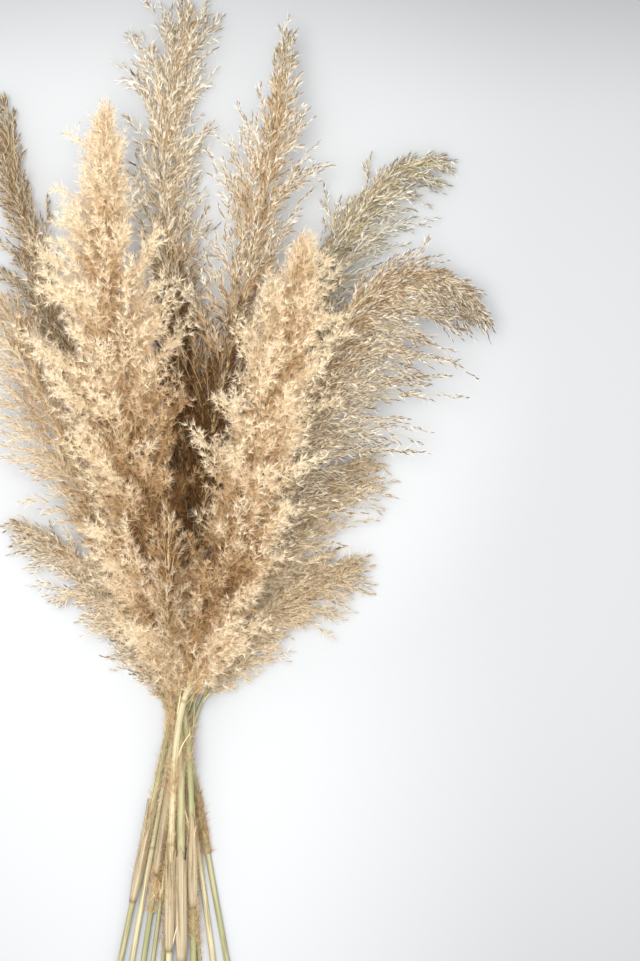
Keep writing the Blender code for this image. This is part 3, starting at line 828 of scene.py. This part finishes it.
def make_culm(name, stalk, rng):
    """The jointed stem below a plume, hollow at its cut end."""
    end = stalk.joint + RACHIS_OVERLAP
    joints = np.arange(FIRST_JOINT, end, JOINT_SPACING)
    if name in SHEATHS:  # a sheath grows from a joint
        foot = sheath_reach(name, stalk)[0]
        joints = np.append(joints[np.abs(joints - foot) > JOINT_SPACING / 4], foot)
    ridge = joints[:, None] + JOINT_ROWS
    rows = np.sort(np.concatenate([np.arange(CULM_ROW, end, CULM_ROW), ridge[ridge < end]]))
    to_joint = np.abs(rows[:, None] - joints).min(axis=1)
    swell = 1.0 + JOINT_SWELL * np.exp(-(to_joint / JOINT_LENGTH) ** 2)
    back, share = np.array(CULM_END).T
    distances = np.concatenate([back * MM, rows])
    turns = np.arange(CULM_SIDES) * 2 * math.pi / CULM_SIDES
    radii = stalk.stem_radius * np.concatenate([share, swell])[:, None] * np.ones(CULM_SIDES)
    joint = np.concatenate([np.zeros(len(back)), np.exp(-(to_joint / (0.8 * JOINT_LENGTH)) ** 2)])
    pith = np.concatenate([np.ones(len(back) - 1), np.zeros(len(rows) + 1)])
    upward = rng.uniform(0, 40) + distances[:, None] * GRAIN_ALONG
    grain = np.stack(np.broadcast_arrays(np.cos(turns), np.sin(turns), upward), -1)
    numbers = dict(joint=joint[:, None], pith=pith[:, None], grain=grain, dry=rng.uniform(0.0, 1.0))
    points = rings_round(stalk, distances, turns, radii)
    made = make_skin("culm_" + name, points, True, numbers, culm_material())
    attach(made, "root")
    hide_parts("stem_" + name)


def sheath_reach(name, stalk):
    """Where along its stalk a CAD sheath begins and ends, and its radius."""
    off = np.linalg.norm(wire_of("sheath_" + name)[0][:, None] - stalk.middles, axis=2)
    nearest = stalk.distances[off.argmin(axis=1)]
    return nearest.min(), nearest.max(), off.min(axis=1).max()


def make_leaf_sheath(name, stalk, torn, rng):
    """A dry leaf sheath wrapped round its culm, loose and torn into tongues at the top."""
    low, high, outer = sheath_reach(name, stalk)
    around = np.linspace(0.0, 1.0, SHEATH_COLUMNS)
    middles = rng.uniform(0, 1, SHEATH_TEARS)
    widths = rng.uniform(0.03, 0.09, SHEATH_TEARS)
    depths = rng.uniform(0.4, 1.0, SHEATH_TEARS)
    notch = (depths * np.clip(1 - np.abs(around[:, None] - middles) / widths, 0, None)).max(axis=1)
    top = high - torn * MM * np.clip(notch + rng.uniform(0, 0.12, SHEATH_COLUMNS), 0, 1)
    share = np.linspace(0.0, 1.0, int((high - low) / SHEATH_ROW))[:, None]
    distances = low + share * (top - low)
    up = (distances - low) / (high - low)
    tight = stalk.stem_radius * SHEATH_TIGHT
    loose = (outer - tight) * np.clip(up / SHEATH_LOOSENS, 0, 1)
    ripple = SHEATH_RIPPLE * np.sin(around * 19 + rng.uniform(0, 6)) * up
    opened = np.clip((up - SHEATH_OPENS) / (1 - SHEATH_OPENS), 0, 1) ** 2
    flare = SHEATH_FLARE * opened * (0.35 + 0.65 * notch)
    radii = tight + loose + SHEATH_OVERLAP * around + ripple + flare
    turns = rng.uniform(0, 6.28) + around * SHEATH_TURN
    points = rings_round(stalk, distances, turns, radii)
    grain = (around * 6.0, rng.uniform(0, 9), distances * GRAIN_ALONG)
    grain = np.stack(np.broadcast_arrays(*grain), -1)
    numbers = dict(up=up, edge=share ** 6, grain=grain)
    made = make_skin("leaf_sheath_" + name, points, False, numbers, sheath_material())
    thick = made.modifiers.new("thickness", "SOLIDIFY")
    thick.thickness = SHEATH_THICKNESS
    thick.offset = 0
    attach(made, "root")
    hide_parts("sheath_" + name)


# ---- materials

class Nodes:
    """A short way to write the nodes of a material or world."""

    def __init__(self, owner):
        self.owner = owner
        owner.use_nodes = True
        self.tree = owner.node_tree
        self.tree.nodes.clear()

    def add(self, kind, inputs, **settings):
        """inputs: for a socket's name or number a node, one of its outputs, a number or a colour."""
        node = self.tree.nodes.new(kind)
        for key, value in settings.items():
            setattr(node, key, value)
        for key, value in inputs.items():
            socket = node.inputs[key]
            if isinstance(value, bpy.types.Node):
                value = value.outputs[0]
            if isinstance(value, bpy.types.NodeSocket):
                self.tree.links.new(value, socket)
            else:
                socket.default_value = (*value, 1.0) if socket.type == "RGBA" else value
        return node

    def attribute(self, name, output="Fac"):
        return self.add("ShaderNodeAttribute", {}, attribute_name=name).outputs[output]

    def ramp(self, value, colours):
        node = self.add("ShaderNodeValToRGB", {"Fac": value})
        stops = node.color_ramp.elements
        while len(stops) < len(colours):
            stops.new(0.5)
        for stop, (position, colour) in zip(stops, colours):
            stop.position = position
            stop.color = (*colour, 1.0)
        return node

    def mix(self, share, first, second, blend="MIX"):
        values = {0: share, 6: first, 7: second}
        return self.add("ShaderNodeMix", values, data_type="RGBA", blend_type=blend).outputs[2]

    def span(self, value, *numbers, smooth=False):
        """The value brought from low, high to another low, high."""
        return self.add("ShaderNodeMapRange", dict(enumerate((value, *numbers))),
                        interpolation_type="SMOOTHSTEP" if smooth else "LINEAR")

    def finish(self, colour, rough, specular, see_through=0.0, **more):
        """The shader they end in, with the share of light that comes through."""
        surface = self.add("ShaderNodeBsdfPrincipled", {
            "Base Color": colour, "Roughness": rough, "Specular IOR Level": specular, **more})
        if see_through:
            glow = self.add("ShaderNodeBsdfTranslucent", {"Color": colour})
            surface = self.add("ShaderNodeMixShader", {0: see_through, 1: surface, 2: glow})
        self.add("ShaderNodeOutputMaterial", {"Surface": surface})
        return self.owner


def scaled(colour, share):
    return tuple(share * part for part in colour)


def strand_material(name, look, dark, light, see_through, roughness):
    """Dry plant fibre: its colour goes by its tone, by painted shade from how deep it lies and from
    foot to tip.
    """
    nodes = Nodes(bpy.data.materials.new(name))
    tone, depth, reach = (nodes.attribute(label) for label in ("tone", "depth", "reach"))
    body = nodes.ramp(tone, [(0.15, dark), (0.85, light)])
    # painted shade by depth, with some of the plant's own browner inner colour
    shade = nodes.ramp(depth, [(0.0, look["heart"]), (0.26, look["inner"]), (0.62, (1.0, 1.0, 1.0))])
    body = nodes.mix(nodes.span(reach, 0.2, 1.0, 0.0, 0.3), body, light)
    body = nodes.mix(1.0, body, shade, "MULTIPLY")
    rough = nodes.span(tone, 0.0, 1.0, roughness + 0.1, roughness - 0.1)
    return nodes.finish(body, rough, 0.3, see_through)


@cache
def plume_materials(palette):
    """One for each kind of strand: darkest and lightest colour, see-through share, roughness."""
    look = PALETTES[palette]
    kinds = {
        "husk": (scaled(look["husk"], 0.62), look["husk"], 0.48, 0.55),
        "seed": (scaled(look["seed"], 0.6), scaled(look["seed"], 1.45), 0.15, 0.5),
        "hair": (*look["hair"], 0.52, 0.5),
        "wood": (*look["wood"], 0.1, 0.55),
    }
    return [strand_material(kind + "_" + palette, look, *kinds[kind]) for kind in KINDS]


def stretched_noise(nodes, scale, along, detail=3.0):
    """Noise drawn out along a stalk, read from the grain of a culm or sheath."""
    grain = nodes.attribute("grain", "Vector")
    stretch = nodes.add("ShaderNodeMapping", {"Vector": grain, "Scale": (scale, scale, along)})
    return nodes.add("ShaderNodeTexNoise", {"Vector": stretch, "Scale": 1.0, "Detail": detail})


def finish_bark(nodes, colour, rough, height, bump, see_through):
    """The shader that a culm and a sheath end in."""
    relief = nodes.add("ShaderNodeBump", {"Strength": bump, "Distance": RELIEF, "Height": height})
    return nodes.finish(colour, rough, 0.35, see_through, Normal=relief)


@cache
def culm_material():
    """Green to straw, with fibres along it, darker at the joints, and pale pith at the cut."""
    nodes = Nodes(bpy.data.materials.new("culm"))
    fibres = stretched_noise(nodes, 9.0, 0.5)
    patches = stretched_noise(nodes, 0.8, 1.0)
    blotches = stretched_noise(nodes, 2.2, 2.6, 5.0)
    dryness = {0: nodes.attribute("dry"), 1: nodes.span(patches, 0.3, 0.7, -0.45, 0.45)}
    dry = nodes.add("ShaderNodeMath", dryness, operation="ADD")
    colour = nodes.ramp(dry, [(0.1, CULM_GREEN), (0.8, CULM_STRAW)])
    colour = nodes.mix(nodes.span(fibres, 0.42, 0.7, 0.0, 0.6), colour, CULM_FIBRE)
    colour = nodes.mix(nodes.span(blotches, 0.52, 0.62, 0.0, 0.75), colour, CULM_BLOTCH)
    colour = nodes.mix(nodes.span(nodes.attribute("joint"), 0.1, 1.0, 0.0, 0.8), colour, CULM_JOINT)
    colour = nodes.mix(nodes.attribute("pith"), colour, CULM_PITH)
    return finish_bark(nodes, colour, nodes.span(fibres, 0.3, 0.7, 0.38, 0.6), fibres, 0.5, 0.0)


@cache
def sheath_material():
    """Papery and ribbed, browner and spotted towards the torn edge."""
    nodes = Nodes(bpy.data.materials.new("leaf_sheath"))
    ribs = stretched_noise(nodes, 7.0, 0.35)
    spots = stretched_noise(nodes, 2.6, 2.2, 5.0)
    streaks = stretched_noise(nodes, 26.0, 0.5, 2.0)
    colour = nodes.ramp(ribs, [(0.36, SHEATH_DARK), (0.62, SHEATH_PALE)])
    colour = nodes.mix(nodes.span(streaks, 0.5, 0.66, 0.0, 0.7), colour, SHEATH_DARK)
    colour = nodes.mix(nodes.span(spots, 0.54, 0.68, 0.0, 0.75), colour, SHEATH_SPOT)
    colour = nodes.mix(nodes.span(nodes.attribute("up"), 0.0, 0.06, 0.7, 0.0), colour, SHEATH_SPOT)
    colour = nodes.mix(nodes.span(nodes.attribute("edge"), 0.2, 1.0, 0.0, 0.6), colour, SHEATH_DARK)
    return finish_bark(nodes, colour, nodes.span(spots, 0.3, 0.7, 0.5, 0.75), ribs, 0.7, 0.3)


def floor_material():
    """Pale, with painted light beside and under the bunch, and even far off."""
    nodes = Nodes(bpy.data.materials.new("studio_floor"))
    where = nodes.add("ShaderNodeTexCoord", {}).outputs["Object"]
    parts = nodes.add("ShaderNodeSeparateXYZ", {0: where})
    from_pool, from_under = (
        nodes.add("ShaderNodeVectorMath", {0: where, 1: middle}, operation="DISTANCE").outputs["Value"]
        for middle in (FLOOR_POOL, FLOOR_UNDER))
    # painted light: brighter to the left, dimmer upward, and pools round and under the bunch
    level = nodes.span(parts.outputs[0], *FLOOR_ACROSS, smooth=True)
    for value, numbers in ((parts.outputs[1], FLOOR_UPWARD), (from_pool, FLOOR_ROUND_POOL),
                           (from_under, FLOOR_ROUND_UNDER)):
        factors = {0: level, 1: nodes.span(value, *numbers, smooth=True)}
        level = nodes.add("ShaderNodeMath", factors, operation="MULTIPLY")
    tint = nodes.ramp(level, [(0.0, (0.0, 0.0, 0.0)), (1.0, FLOOR_TINT)])
    far = nodes.span(from_pool, *FLOOR_FAR_OFF, 0.0, 1.0, smooth=True)
    return nodes.finish(nodes.mix(far, tint, scaled(FLOOR_TINT, FLOOR_FAR_LEVEL)), 0.9, 0.1)


# ---- the studio

def make_floor():
    bpy.ops.mesh.primitive_plane_add(size=FLOOR_SIZE)
    floor = bpy.context.object
    floor.name = "studio_floor"
    floor.data.materials.append(floor_material())


def make_world():
    """A pale world, dimmer towards the horizon."""
    world = bpy.data.worlds.new("studio")
    bpy.context.scene.world = world
    nodes = Nodes(world)
    where = nodes.add("ShaderNodeTexCoord", {}).outputs["Generated"]
    height = nodes.add("ShaderNodeSeparateXYZ", {0: where}).outputs["Z"]
    strength = nodes.span(height, 0.0, SKY_TURNS_FULL, WORLD_AT_HORIZON, WORLD_ABOVE)
    sky = nodes.add("ShaderNodeBackground", {"Color": WORLD_COLOUR, "Strength": strength})
    nodes.add("ShaderNodeOutputWorld", {"Surface": sky})


def make_lamps():
    for name, (place, size, power, colour) in LAMPS.items():
        data = bpy.data.lights.new(name, "AREA")
        data.shape = "DISK"
        data.size = size
        data.energy = power
        data.color = colour
        lamp = add_object(name, data)
        lamp.location = place
        aim = Vector(LAMPS_AIM_AT - np.array(place))
        lamp.rotation_euler = aim.to_track_quat("-Z", "Y").to_euler()
        lamp.visible_camera = False


def make_camera():
    """Straight above the bundle, looking down, framed as the bunch is seen from its front."""
    data = bpy.data.cameras.new("camera")
    data.lens = CAMERA_LENS
    camera = add_object("camera", data)
    camera.location = CAMERA_PLACE
    bpy.context.scene.camera = camera


# ---- the scene

stalks = {name: Stalk(name, look["start"]) for name, look in PLUMES.items()}
for number, (name, look) in enumerate(PLUMES.items()):
    look = PLUME | STYLES[look["style"]] | look
    grow_plume(name, stalks[name], look, np.random.default_rng(SEED + number))
    make_culm(name, stalks[name], np.random.default_rng(SEED + 100 + number))
for number, (name, torn) in enumerate(SHEATHS.items()):
    make_leaf_sheath(name, stalks[name], torn, np.random.default_rng(SEED + 200 + number))

make_floor()
make_world()
make_lamps()
make_camera()
scene = bpy.context.scene
scene.view_settings.view_transform = "Standard"
scene.view_settings.exposure = 0.0
